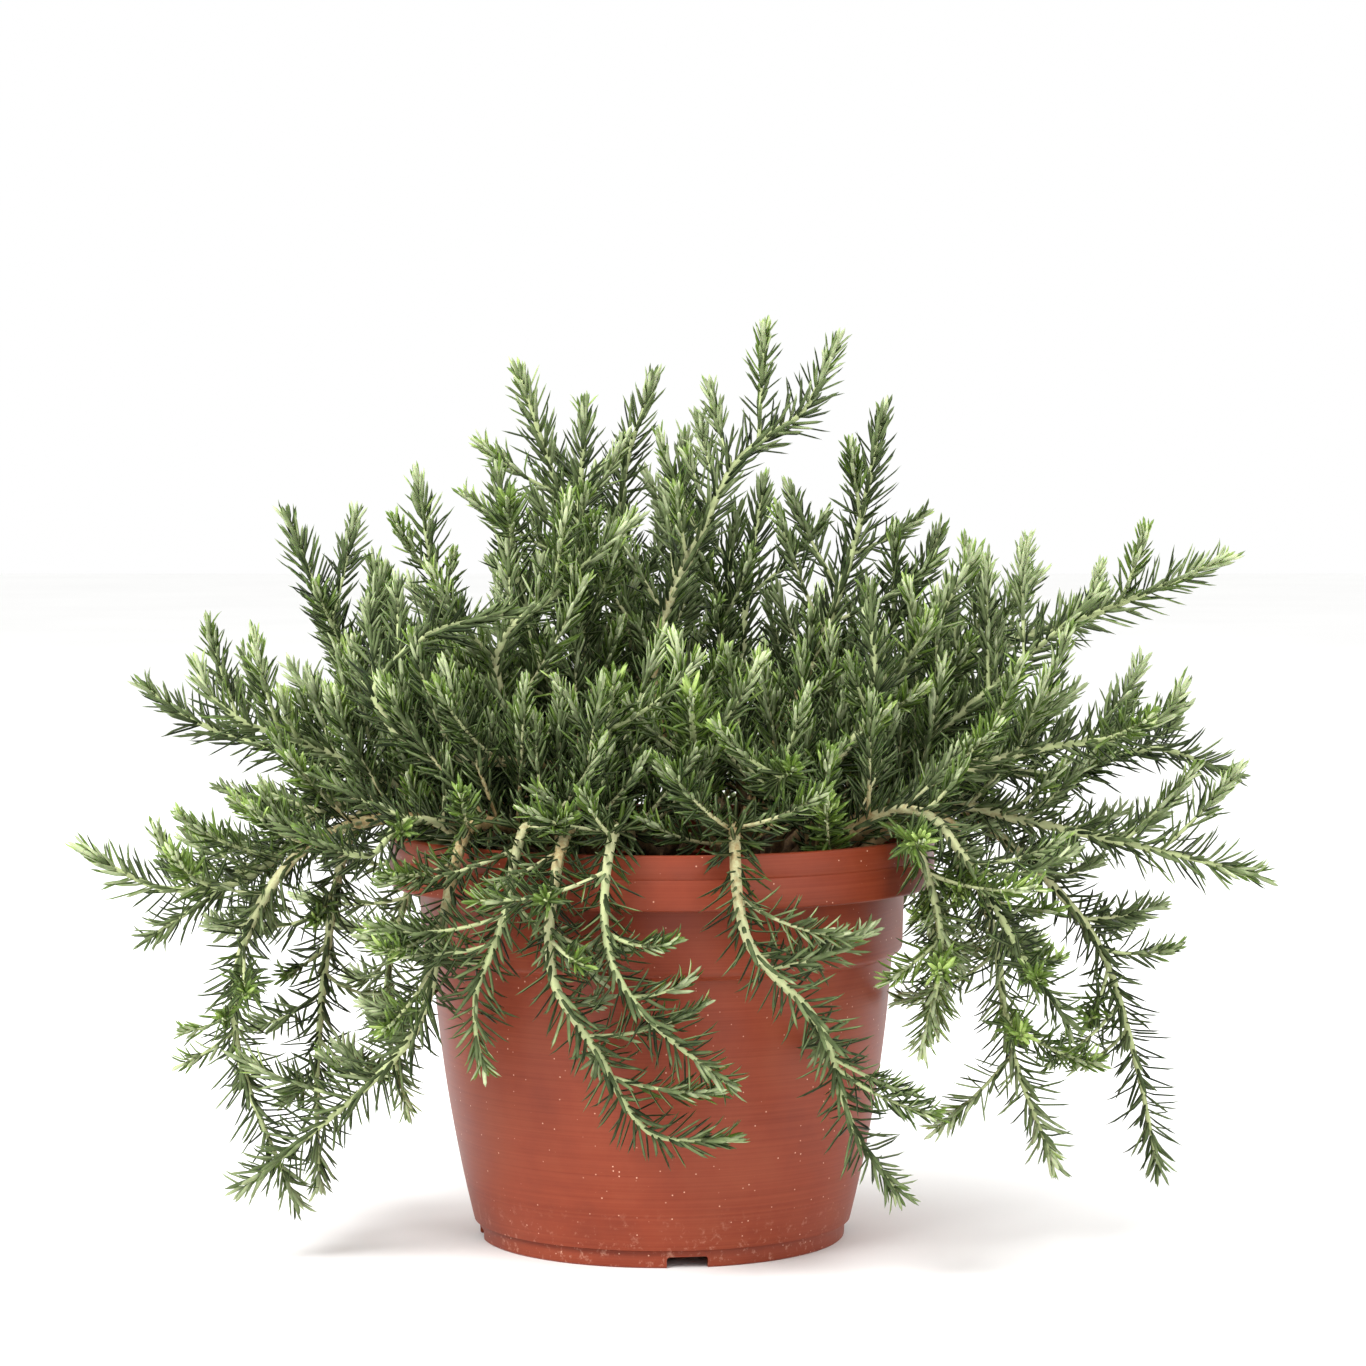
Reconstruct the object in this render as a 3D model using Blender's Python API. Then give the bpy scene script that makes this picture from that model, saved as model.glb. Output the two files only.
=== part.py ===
"""Potted trailing rosemary: a moulded nursery pot, its soil, the woody crowns and the leafy sprigs.

Metres, +Z up. The pot stands on Z = 0. The model is shifted at the end so that the middle of the
bottom of its whole box is the origin. Each sprig is one closed tube that fills the room its stem,
needles and side shoots take up, thin at the woody root and pointed at the growing tip.
"""
import math

import bmesh
import bpy
import numpy as np
from mathutils import Matrix, Vector
from mathutils.bvhtree import BVHTree

MM = 0.001
CM = 0.01
AIR = 0.3 * MM                      # gap between pieces that touch on the real plant

# Pot, a thin moulded wall that steps out twice on its way up.
POT_HEIGHT = 172 * MM
WALL = 2.2 * MM
LIP_RADIUS = 114.8 * MM
LIP_HEIGHT = 22.5 * MM              # the band round the mouth
COLLAR_RADIUS = 101.4 * MM
COLLAR_HEIGHT = 28.5 * MM           # the band below the lip
BODY_SLOPE = 0.26                   # radius gained per height at the foot of the bowed body
BODY_BOW = 0.82                     # how fast that slope fades, per metre
BODY_FOOT_RADIUS = 77.6 * MM        # the bowed body carried down to Z = 0
FOOT_RADIUS = 77.0 * MM
FOOT_HEIGHT = 7.6 * MM
FOOT_WIDTH = 3.2 * MM               # width of the ring that the pot stands on
FLOOR_THICKNESS = 2.6 * MM
EDGE = 1.2 * MM                     # rounding of the moulded corners
COLLAR_EDGE = 3.0 * MM              # softer rounding under the collar
POT_SEGMENTS = 48
POT_SIDE_STEPS = 6

# Drainage: gaps in the foot ring, a hole near each, and one in the middle of the floor.
DRAIN_COUNT = 4
DRAIN_FIRST_ANGLE = math.radians(-82)
FOOT_GAP_WIDTH = 17 * MM
FOOT_GAP_HEIGHT = 4.6 * MM
DRAIN_RADIUS = 5.0 * MM
DRAIN_CIRCLE = 58 * MM
CENTRE_DRAIN_RADIUS = 6.0 * MM

# Soil and the woody crowns that stand on it.
SOIL_TOP = 147 * MM
CROWN_RADIUS = 13 * MM
CROWN_LIFT = 3 * MM                 # how far a crown's middle stands above the soil
CROWNS = {
    "front_left": (-4.0, -2.8),
    "front_right": (4.2, -2.8),
    "back_left": (-4.2, 3.4),
    "back_right": (4.4, 3.2),
    "middle": (0.0, 0.6),
}

# Sprigs: room taken up by stem and needles along a sprig.
STEM_RADIUS = 1.7 * MM
LEAFY_RADIUS = 9.5 * MM
ROOT_LENGTH = 14 * MM               # straight run out of the crown
RING_SPACING = 18 * MM
SPRIG_SIDES = 6
FLOOR_CLEARANCE = 4 * MM            # no sprig comes nearer to the ground
RIM_CLEARANCE = 9 * MM              # how high a drooping sprig bows over the lip

# Routes of the sprigs, chosen by eye: crown, then points in centimetres from the pot's axis.
UPRIGHT = [
    ("middle", [(-3.7, 2.0, 28.6), (-6.2, 2.5, 36.8)]),
    ("middle", [(-3.4, -1.0, 26.0), (-3.2, -1.5, 35.3)]),
    ("middle", [(-1.8, 3.5, 30.0), (-0.3, 4.0, 36.5)]),
    ("front_left", [(-5.8, -1.0, 26.9), (-6.9, -2.0, 32.6)]),
    ("back_left", [(-8.9, 2.0, 25.2), (-10.5, 2.5, 32.3)]),
    ("front_left", [(-11.0, -2.0, 21.8), (-13.9, -2.5, 26.5), (-15.6, -2.5, 30.7)]),
    ("back_left", [(-11.0, 4.0, 22.5), (-12.6, 5.5, 28.6)]),
    ("middle", [
        (-0.3, -1.5, 24.4), (1.6, -1.5, 29.6), (3.4, -1.0, 33.0), (5.8, -0.5, 34.6), (7.4, 0.0, 37.8),
    ]),
    ("front_right", [(7.6, 0.5, 27.5), (9.4, 1.0, 35.1)]),
    ("back_right", [(9.6, 2.5, 25.2), (12.1, 3.5, 30.0)]),
    ("front_right", [(10.8, -2.0, 25.2), (13.1, -2.5, 29.0)]),
    ("back_right", [(13.0, 1.0, 24.5), (16.1, 1.5, 28.1)]),
    ("front_right", [(12.5, -1.5, 22.2), (18.6, -2.0, 27.5)]),
    ("back_right", [(13.5, 4.5, 24.0), (18.6, 4.5, 26.0), (24.6, 4.0, 28.6)]),
    ("middle", [(2.4, 1.0, 24.0), (3.2, 0.5, 31.0)]),
    ("front_left", [
        (-4.3, -6.0, 20.2), (-8.8, -7.2, 20.8), (-11.6, -7.2, 23.0), (-9.6, -6.6, 25.6), (-5.8, -5.6, 26.6),
    ]),
    ("front_left", [(-6.8, -4.0, 24.4), (-4.3, -3.8, 27.3), (-0.9, -3.5, 30.5)]),
    ("front_right", [(8.3, -5.5, 22.0), (8.4, -6.0, 27.9)]),
    ("front_left", [(-2.2, -6.5, 20.5), (-1.8, -11.0, 24.4)]),
    ("front_right", [(1.4, -7.0, 20.5), (1.2, -12.0, 23.9)]),
    ("front_right", [(4.5, -8.0, 19.5), (5.3, -13.5, 20.9)]),
    ("back_left", [(-3.5, 7.0, 24.0), (-4.2, 9.0, 31.0)]),
    ("back_right", [(3.5, 7.0, 25.0), (4.5, 9.5, 32.0)]),
    ("middle", [(0.6, 5.0, 26.0), (1.0, 6.0, 34.0)]),
]
SPREADING = [
    ("back_left", [(-13.9, 1.0, 19.6), (-19.4, 1.5, 21.4), (-22.3, 1.5, 23.3)]),
    ("front_left", [(-13.5, -3.0, 20.5), (-17.8, -4.0, 22.3), (-19.2, -4.0, 24.6)]),
    ("front_left", [(-13.1, -4.5, 18.6), (-16.5, -6.0, 15.8), (-20.2, -7.0, 15.4), (-23.6, -7.5, 17.2)]),
    ("back_left", [(-14.0, 4.5, 18.5), (-18.1, 5.0, 14.8), (-22.8, 5.5, 11.6)]),
    ("front_left", [(-9.8, -8.5, 18.4), (-11.8, -10.2, 17.0), (-14.3, -11.8, 18.2)]),
    ("back_left", [(-11.0, 7.5, 20.5), (-15.0, 11.0, 21.4), (-17.0, 13.5, 23.4)]),
    ("front_right", [(14.2, -3.5, 20.4), (19.7, -4.5, 21.6), (21.5, -5.0, 23.7)]),
    ("back_right", [(13.5, 1.5, 19.4), (17.1, 1.5, 19.2), (20.7, 1.0, 20.5), (24.6, 1.0, 19.2)]),
    ("front_right", [(14.2, -2.0, 17.8), (21.3, -3.5, 16.4), (25.0, -4.0, 15.5)]),
    ("back_left", [(-7.0, 10.5, 20.5), (-9.5, 15.5, 22.5), (-10.5, 18.5, 25.0)]),
    ("back_right", [(5.5, 11.5, 20.0), (7.0, 16.5, 21.5), (7.5, 20.0, 24.0)]),
    ("back_right", [(11.5, 8.5, 20.0), (16.0, 11.5, 20.5), (19.0, 13.0, 22.5)]),
    ("back_left", [(-1.0, 12.0, 19.5), (-1.5, 17.0, 19.5), (-1.5, 20.5, 21.5)]),
]
TRAILING = [
    ("front_left", [(-14.6, -6.0, 17.0), (-17.0, -6.5, 13.2), (-17.2, -6.5, 8.5), (-14.8, -6.0, 2.0)]),
    ("front_left", [(-13.4, -1.5, 16.0), (-14.4, -2.0, 8.0), (-14.3, -2.5, 2.0)]),
    ("front_left", [(-8.6, -10.2, 14.5), (-9.6, -9.2, 10.4), (-12.0, -8.2, 7.4), (-17.4, -7.0, 2.9)]),
    ("front_left", [(-6.2, -11.8, 14.6), (-7.4, -11.0, 11.2), (-6.9, -10.8, 8.2)]),
    ("front_left", [(-4.3, -12.8, 13.0), (-2.4, -12.2, 9.4), (-0.4, -11.6, 6.2), (3.3, -11.8, 6.0)]),
    ("middle", [(-2.1, -13.2, 14.0), (-0.5, -13.2, 11.0), (3.1, -12.8, 8.0)]),
    ("front_right", [(3.4, -13.0, 14.0), (6.3, -12.2, 10.5), (7.6, -11.2, 6.4), (9.8, -10.8, 3.2)]),
    ("front_right", [(9.8, -7.2, 18.6), (12.6, -8.2, 16.0), (14.4, -8.8, 13.0), (16.7, -8.8, 9.7)]),
    ("front_right", [(13.4, -4.0, 14.0), (14.4, -4.2, 8.5), (16.4, -4.0, 3.2)]),
    ("back_right", [(14.5, -0.4, 16.6), (18.2, -0.5, 12.6), (19.8, -0.8, 8.0), (21.0, -1.0, 2.4)]),
    ("front_right", [(11.2, -8.0, 13.6), (10.4, -8.2, 8.6)]),
    ("back_left", [(-10.8, 9.8, 15.0), (-12.5, 11.5, 8.5), (-11.5, 11.5, 3.0)]),
    ("back_left", [(-5.2, 13.6, 14.0), (-5.4, 14.4, 9.6), (-4.6, 14.4, 5.5)]),
    ("back_right", [(2.7, 14.4, 14.0), (4.2, 15.4, 7.5), (6.5, 15.5, 3.0)]),
    ("back_right", [(11.2, 10.4, 14.6), (12.2, 11.4, 10.6), (12.4, 11.6, 6.5)]),
]

# How the routes settle beside each other.
SETTLE_STEPS = 90
SETTLE_SHARE = 0.8                  # room wanted between two sprigs, of what their needles take up
SPRING_BACK = 0.03                  # pull towards the chosen route at each step


def clear_scene():
    """Remove whatever the file opened with."""
    for item in list(bpy.data.objects):
        bpy.data.objects.remove(item, do_unlink=True)


def material(name, colour, roughness, metallic=0.0):
    """A plain Principled material."""
    made = bpy.data.materials.new(name)
    made.use_nodes = True
    shader = made.node_tree.nodes["Principled BSDF"]
    shader.inputs["Base Color"].default_value = (*colour, 1.0)
    shader.inputs["Roughness"].default_value = roughness
    shader.inputs["Metallic"].default_value = metallic
    return made


def add_object(name, mesh_maker, finish):
    """Turn a bmesh into a named object with one material."""
    mesh = bpy.data.meshes.new(name)
    bmesh.ops.recalc_face_normals(mesh_maker, faces=mesh_maker.faces)
    mesh_maker.to_mesh(mesh)
    mesh_maker.free()
    mesh.materials.append(finish)
    made = bpy.data.objects.new(name, mesh)
    bpy.context.collection.objects.link(made)
    return made


def smooth(made, angle=math.radians(35)):
    """Shade a round piece smooth, with its corners kept sharp."""
    made.data.shade_smooth()
    made.data.set_sharp_from_angle(angle=angle)


def turned(profile, closed):
    """Spin an outline of (radius, height) points round the Z axis."""
    maker = bmesh.new()
    verts = [maker.verts.new((radius, 0.0, height)) for radius, height in profile]
    edges = [maker.edges.new(pair) for pair in zip(verts, verts[1:])]
    if closed:
        edges.append(maker.edges.new((verts[-1], verts[0])))
    bmesh.ops.spin(
        maker, geom=verts + edges, cent=(0, 0, 0), axis=(0, 0, 1),
        angle=math.tau, steps=POT_SEGMENTS, use_merge=True,
    )
    bmesh.ops.remove_doubles(maker, verts=maker.verts, dist=0.01 * MM)
    return maker


# ---------------------------------------------------------------- pot and soil

LIP_UNDERSIDE = POT_HEIGHT - LIP_HEIGHT
COLLAR_UNDERSIDE = LIP_UNDERSIDE - COLLAR_HEIGHT
FLOOR_TOP = FOOT_HEIGHT + FLOOR_THICKNESS


def body_radius(height):
    """Outer radius of the bowed body."""
    return BODY_FOOT_RADIUS + BODY_SLOPE * height - BODY_BOW * height * height


def body_heights(low, high):
    """Evenly spaced heights up the bowed body."""
    return [low + (high - low) * step / POT_SIDE_STEPS for step in range(POT_SIDE_STEPS + 1)]


def outer_profile():
    """Outside of the pot from the foot ring up to the top of the lip."""
    profile = [
        (FOOT_RADIUS - EDGE / 2, 0.0),
        (FOOT_RADIUS, EDGE / 2),
        (FOOT_RADIUS + EDGE / 2, FOOT_HEIGHT - EDGE / 2),
    ]
    body_top = COLLAR_UNDERSIDE - EDGE
    profile += [(body_radius(height), height) for height in body_heights(FOOT_HEIGHT, body_top)]
    for turn in (0.0, 30.0, 60.0, 90.0):
        bend = math.radians(turn)
        radius = COLLAR_RADIUS - COLLAR_EDGE * (1 - math.sin(bend))
        profile.append((radius, COLLAR_UNDERSIDE + COLLAR_EDGE * (1 - math.cos(bend))))
    profile += [
        (COLLAR_RADIUS + EDGE / 2, LIP_UNDERSIDE),
        (LIP_RADIUS - EDGE, LIP_UNDERSIDE),
        (LIP_RADIUS - EDGE / 4, LIP_UNDERSIDE + EDGE),
        (LIP_RADIUS, POT_HEIGHT - EDGE),
        (LIP_RADIUS - EDGE, POT_HEIGHT),
    ]
    return profile


def inner_profile(gap=0.0, low=FLOOR_TOP, high=POT_HEIGHT):
    """Inside of the pot from the top down to the floor, drawn in by a gap for what fills it."""
    inset = WALL + gap
    shelf = LIP_UNDERSIDE + inset
    corner = COLLAR_UNDERSIDE + inset
    profile = [
        (LIP_RADIUS - inset, high),
        (LIP_RADIUS - inset, shelf),
        (COLLAR_RADIUS - inset, shelf),
    ]
    if high < shelf:
        profile = [(COLLAR_RADIUS - inset, high)]
    profile += [
        (COLLAR_RADIUS - inset, corner),
        (body_radius(corner) - inset, corner - WALL),
    ]
    heights = body_heights(low, corner - WALL)[-2::-1]
    profile += [(body_radius(height) - inset, height) for height in heights]
    return profile


def pot_profile():
    """Closed outline of the pot's wall and floor, open in the middle for the centre drain."""
    ring_inside = FOOT_RADIUS - FOOT_WIDTH
    underside = [
        (CENTRE_DRAIN_RADIUS, FLOOR_TOP),
        (CENTRE_DRAIN_RADIUS, FOOT_HEIGHT),
        (ring_inside, FOOT_HEIGHT),
        (ring_inside, 0.0),
    ]
    return outer_profile() + inner_profile() + underside


def cutter(name, maker):
    """A hidden shape that is cut out of the pot."""
    made = add_object(name, maker, material(name, (0.5, 0.5, 0.5), 0.5))
    made.hide_render = True
    made.display_type = "WIRE"
    return made


def cut(target, tool):
    """Cut one shape out of another."""
    step = target.modifiers.new(tool.name, "BOOLEAN")
    step.operation = "DIFFERENCE"
    step.solver = "EXACT"
    step.object = tool


def drain_cutters():
    """A foot-ring gap and a floor hole at each drain angle."""
    tools = []
    for number in range(DRAIN_COUNT):
        angle = DRAIN_FIRST_ANGLE + number * math.tau / DRAIN_COUNT
        outward = Vector((math.cos(angle), math.sin(angle), 0.0))
        gap = bmesh.new()
        bmesh.ops.create_cube(gap, size=1.0)
        size = (4 * FOOT_WIDTH, FOOT_GAP_WIDTH, 2 * FOOT_GAP_HEIGHT)
        bmesh.ops.scale(gap, vec=size, verts=gap.verts)
        bmesh.ops.rotate(gap, matrix=Matrix.Rotation(angle, 3, "Z"), verts=gap.verts)
        bmesh.ops.translate(gap, vec=outward * FOOT_RADIUS, verts=gap.verts)
        tools.append(cutter(f"foot_gap_{number}", gap))
        hole = bmesh.new()
        bmesh.ops.create_cone(
            hole, cap_ends=True, segments=12,
            radius1=DRAIN_RADIUS, radius2=DRAIN_RADIUS, depth=4 * FLOOR_THICKNESS,
        )
        middle = outward * DRAIN_CIRCLE + Vector((0, 0, FOOT_HEIGHT + FLOOR_THICKNESS / 2))
        bmesh.ops.translate(hole, vec=middle, verts=hole.verts)
        tools.append(cutter(f"drain_hole_{number}", hole))
    return tools


def build_pot():
    """The moulded pot with its drainage."""
    plastic = material("terracotta_plastic", (0.40, 0.10, 0.05), 0.45)
    pot = add_object("pot", turned(pot_profile(), closed=True), plastic)
    for tool in drain_cutters():
        cut(pot, tool)
    smooth(pot)
    return pot


def build_soil():
    """Soil that fills the pot from its floor to a little below the lip."""
    side = inner_profile(gap=AIR, low=FLOOR_TOP + AIR, high=SOIL_TOP)
    profile = [(0.0, SOIL_TOP)] + side + [(0.0, FLOOR_TOP + AIR)]
    humus = material("soil", (0.05, 0.03, 0.02), 0.95)
    soil = add_object("potting_soil", turned(profile, closed=False), humus)
    smooth(soil)
    return soil


# ---------------------------------------------------------------- crowns

def crown_middle(key):
    """Middle of a crown's ball."""
    x, y = CROWNS[key]
    return np.array([x * CM, y * CM, SOIL_TOP + CROWN_LIFT])


def crown_ball():
    """The faceted ball that each crown is cut from, round the origin."""
    maker = bmesh.new()
    bmesh.ops.create_icosphere(maker, subdivisions=2, radius=CROWN_RADIUS)
    return maker


def crown_surfaces(directions):
    """Points just off a crown's surface, from its middle, in the given directions."""
    maker = crown_ball()
    tree = BVHTree.FromBMesh(maker)
    maker.free()
    reach = [tree.ray_cast(Vector((0, 0, 0)), Vector(direction))[3] + AIR for direction in directions]
    return directions * np.array(reach)[:, None]


def build_crown(key, bark):
    """A ball of old wood with its underside cut flat on the soil."""
    maker = crown_ball()
    middle = Vector(crown_middle(key))
    bmesh.ops.translate(maker, vec=middle, verts=maker.verts)
    cut_off = bmesh.ops.bisect_plane(
        maker, geom=maker.verts[:] + maker.edges[:] + maker.faces[:],
        plane_co=(0, 0, SOIL_TOP + AIR), plane_no=(0, 0, 1), clear_inner=True,
    )
    rim = [item for item in cut_off["geom_cut"] if isinstance(item, bmesh.types.BMEdge)]
    bmesh.ops.contextual_create(maker, geom=rim)
    crown = add_object(f"crown_{key}", maker, bark)
    smooth(crown)
    return crown


# ---------------------------------------------------------------- routes of the sprigs

def unit(vectors):
    """Vectors scaled to length one."""
    length = np.linalg.norm(vectors, axis=-1, keepdims=True)
    return vectors / np.maximum(length, 1e-12)


def bows_over_rim(point):
    """The place above the lip that a drooping sprig passes on its way to a point outside."""
    outward = unit(np.array([point[0], point[1], 0.0]))
    return outward * LIP_RADIUS + np.array([0.0, 0.0, POT_HEIGHT + RIM_CLEARANCE])


def spread_directions(key, rows):
    """Directions in which the sprigs leave one crown, turned apart so that none share a place."""
    middle = crown_middle(key)
    wanted = unit(np.array([points[0] - middle for points in rows]))
    wanted[:, 2] += 0.5
    current = unit(wanted)
    for _ in range(120):
        away = current[:, None] - current[None]
        gap = np.linalg.norm(away, axis=2)
        np.fill_diagonal(gap, 9.0)
        push = np.clip(0.62 - gap, 0.0, None)
        current = current + 0.5 * (unit(away) * push[..., None]).sum(axis=1)
        current[:, 2] = np.maximum(current[:, 2], 0.12)
        current = unit(current)
    return current


def smooth_curve(points, spacing):
    """Evenly spaced points on one smooth curve through the given points."""
    ends = [2 * points[0] - points[1]] + list(points) + [2 * points[-1] - points[-2]]
    dense = []
    for before, start, end, after in zip(ends, ends[1:], ends[2:], ends[3:]):
        for t in np.linspace(0.0, 1.0, 24, endpoint=False):
            dense.append(0.5 * (
                2 * start + (end - before) * t
                + (2 * before - 5 * start + 4 * end - after) * t * t
                + (3 * start - before - 3 * end + after) * t * t * t
            ))
    dense.append(points[-1])
    dense = np.array(dense)
    length = np.concatenate([[0.0], np.cumsum(np.linalg.norm(np.diff(dense, axis=0), axis=1))])
    count = max(6, int(round(length[-1] / spacing)) + 1)
    places = np.linspace(0.0, length[-1], count)
    return np.stack([np.interp(places, length, dense[:, axis]) for axis in range(3)], axis=1)


def sprig_routes():
    """Centre lines of all sprigs, each from its crown's surface to its tip."""
    table = UPRIGHT + SPREADING + TRAILING
    chosen = []
    for _, points in table:
        row = [np.array(point) * CM for point in points]
        reach = math.hypot(row[0][0], row[0][1])
        if reach > LIP_RADIUS and row[0][2] < POT_HEIGHT + RIM_CLEARANCE:
            row.insert(0, bows_over_rim(row[0]))
        chosen.append(row)
    routes = [None] * len(table)
    for key in CROWNS:
        mine = [number for number, entry in enumerate(table) if entry[0] == key]
        directions = spread_directions(key, [chosen[number] for number in mine])
        for number, direction, surface in zip(mine, directions, crown_surfaces(directions)):
            root = crown_middle(key) + surface
            leaving = root + direction * ROOT_LENGTH
            routes[number] = smooth_curve([root, leaving] + chosen[number], RING_SPACING)
    return routes


def wanted_radius(route):
    """Room a sprig wants at each point: bare stem at the root, needles from there to the tip."""
    step = np.linalg.norm(np.diff(route, axis=0), axis=1)
    length = np.concatenate([[0.0], np.cumsum(step)])
    leafy = np.clip((length - 25 * MM) / (35 * MM), 0.0, 1.0)
    radius = STEM_RADIUS + (LEAFY_RADIUS - STEM_RADIUS) * leafy
    to_tip = length[-1] - length
    return radius * np.clip(0.35 + to_tip / (40 * MM), 0.0, 1.0)


# Outline of the pot and soil as seen by a sprig, for keeping clear of them.

def solid_outline():
    """Closed (radius, height) outline of everything solid in the pot."""
    top = [point for point in inner_profile() if point[1] > SOIL_TOP]
    outline = outer_profile() + top + [(COLLAR_RADIUS - WALL, SOIL_TOP), (0.0, SOIL_TOP)]
    return np.array(outline)


def clearance(points, outline):
    """Distance from points to the pot and soil, and the direction that leads away from them."""
    flat = np.stack([np.hypot(points[:, 0], points[:, 1]), points[:, 2]], axis=1)
    start, end = outline[:-1], outline[1:]
    along = end - start
    share = ((flat[:, None] - start) * along).sum(axis=2) / (along * along).sum(axis=1)
    nearest = start + np.clip(share, 0.0, 1.0)[..., None] * along
    distance = np.linalg.norm(flat[:, None] - nearest, axis=2)
    best = distance.argmin(axis=1)
    away = unit(flat - nearest[np.arange(len(flat)), best])
    radial = unit(points * np.array([1.0, 1.0, 0.0]))
    direction = radial * away[:, :1] + np.array([0.0, 0.0, 1.0]) * away[:, 1:]
    return distance.min(axis=1), direction


def settle(routes):
    """Move the routes apart, off the pot and off the ground, while they stay smooth."""
    outline = solid_outline()
    starts = np.cumsum([0] + [len(route) for route in routes])
    owner = np.concatenate([[number] * len(route) for number, route in enumerate(routes)])
    rest = np.concatenate(routes)
    radius = np.concatenate([wanted_radius(route) for route in routes])
    points = rest.copy()
    share = np.concatenate([np.clip(np.arange(len(route)) / 3.0, 0.0, 1.0) for route in routes])
    room = SETTLE_SHARE * (radius[:, None] + radius[None])
    other = owner[:, None] != owner[None]
    for _ in range(SETTLE_STEPS):
        away = points[:, None] - points[None]
        gap = np.linalg.norm(away, axis=2)
        push = np.where(other, np.clip(room - gap, 0.0, None), 0.0)
        move = 0.3 * (unit(away) * push[..., None]).sum(axis=1)
        distance, direction = clearance(points, outline)
        move += direction * np.clip(radius + 1.5 * MM - distance, 0.0, None)[:, None] * 0.5
        low = np.clip(radius + FLOOR_CLEARANCE - points[:, 2], 0.0, None)
        move[:, 2] += 0.5 * low
        shift = (points - rest) * (1.0 - SPRING_BACK) + move
        for first, last in zip(starts, starts[1:]):
            part = shift[first:last]
            part[1:-1] = 0.5 * part[1:-1] + 0.25 * (part[:-2] + part[2:])
        points = rest + shift * share[:, None]
    return [points[first:last] for first, last in zip(starts, starts[1:])]


def fine_samples(route, per_segment=10):
    """Points along a route between its rings, and the number of the segment each lies in."""
    share = (np.arange(per_segment) + 0.5) / per_segment
    points = route[:-1, None] + share[None, :, None] * (route[1:] - route[:-1])[:, None]
    segment = np.repeat(np.arange(len(route) - 1), per_segment)
    return points.reshape(-1, 3), segment, np.tile(share, len(route) - 1)


def free_radii(routes):
    """Ring radii for every sprig, as wide as it wants where its neighbours leave it that room."""
    outline = solid_outline()
    slack = AIR + 0.35 * MM
    wants = [wanted_radius(route) for route in routes]
    samples = [fine_samples(route) for route in routes]
    fine_want = [
        want[segment] * (1 - share) + want[segment + 1] * share
        for want, (_, segment, share) in zip(wants, samples)
    ]
    points = np.concatenate([item[0] for item in samples])
    want = np.concatenate(fine_want)
    owner = np.concatenate([[number] * len(item[0]) for number, item in enumerate(samples)])
    balls = [(crown_middle(key), CROWN_RADIUS) for key in CROWNS]
    radii = []
    for number, (mine, segment, _) in enumerate(samples):
        theirs = owner != number
        gap = np.linalg.norm(mine[:, None] - points[theirs][None], axis=2) - slack
        my_part = fine_want[number][:, None] / (fine_want[number][:, None] + want[theirs][None])
        limit = np.minimum(fine_want[number], (my_part * gap).min(axis=1))
        limit = np.minimum(limit, clearance(mine, outline)[0] - slack - AIR)
        limit = np.minimum(limit, mine[:, 2] - FLOOR_CLEARANCE / 2)
        for middle, ball in balls:
            limit = np.minimum(limit, np.linalg.norm(mine - middle, axis=1) - ball - AIR / 2)
        ring = np.minimum(wants[number], bend_limit(routes[number]))
        for place in range(len(ring)):
            near = (segment == place) | (segment == place - 1)
            ring[place] = min(ring[place], limit[near].min())
        radii.append(ring)
    return radii


def bend_limit(route):
    """Largest radius that a tube can have without folding into itself at its bends."""
    limit = np.full(len(route), 1.0)
    step = unit(np.diff(route, axis=0))
    turn = np.arccos(np.clip((step[:-1] * step[1:]).sum(axis=1), -1.0, 1.0))
    length = np.linalg.norm(np.diff(route, axis=0), axis=1)
    limit[1:-1] = 0.7 * np.minimum(length[:-1], length[1:]) / np.maximum(2 * np.tan(turn / 2), 0.05)
    return limit


# ---------------------------------------------------------------- sprigs

def build_sprig(name, route, radii, leaf):
    """One closed tube of rings along a route, drawn to a point at both ends."""
    tangents = unit(np.gradient(route, axis=0))
    side = np.cross(tangents[0], (0.0, 0.0, 1.0))
    if np.linalg.norm(side) < 0.1:
        side = np.array([1.0, 0.0, 0.0])
    side = unit(side)
    maker = bmesh.new()
    loops = []
    for place in range(1, len(route) - 1):
        side = unit(side - tangents[place] * side.dot(tangents[place]))
        across = np.cross(tangents[place], side)
        ring = []
        for corner in range(SPRIG_SIDES):
            angle = math.tau * corner / SPRIG_SIDES
            offset = math.cos(angle) * side + math.sin(angle) * across
            ring.append(maker.verts.new(route[place] + radii[place] * offset))
        loops.append([maker.edges.new((ring[k - 1], ring[k])) for k in range(SPRIG_SIDES)])
        if place == 1:
            first_ring = ring
    for low, high in zip(loops, loops[1:]):
        bmesh.ops.bridge_loops(maker, edges=low + high)
    for ring, end in ((first_ring, route[0]), (ring, route[-1])):
        point = maker.verts.new(end)
        for corner in range(SPRIG_SIDES):
            maker.faces.new((ring[corner - 1], ring[corner], point))
    sprig = add_object(name, maker, leaf)
    smooth(sprig, math.radians(60))
    return sprig


def centre_on_origin(pieces):
    """Shift every piece so that the middle of the bottom of the whole box is the origin."""
    bpy.context.view_layer.update()
    low = np.full(3, np.inf)
    high = np.full(3, -np.inf)
    for piece in pieces:
        corners = np.array([vertex.co for vertex in piece.data.vertices])
        low = np.minimum(low, corners.min(axis=0))
        high = np.maximum(high, corners.max(axis=0))
    middle = (low + high) / 2
    for piece in list(bpy.context.scene.objects):
        piece.location = (-middle[0], -middle[1], -low[2])


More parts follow.
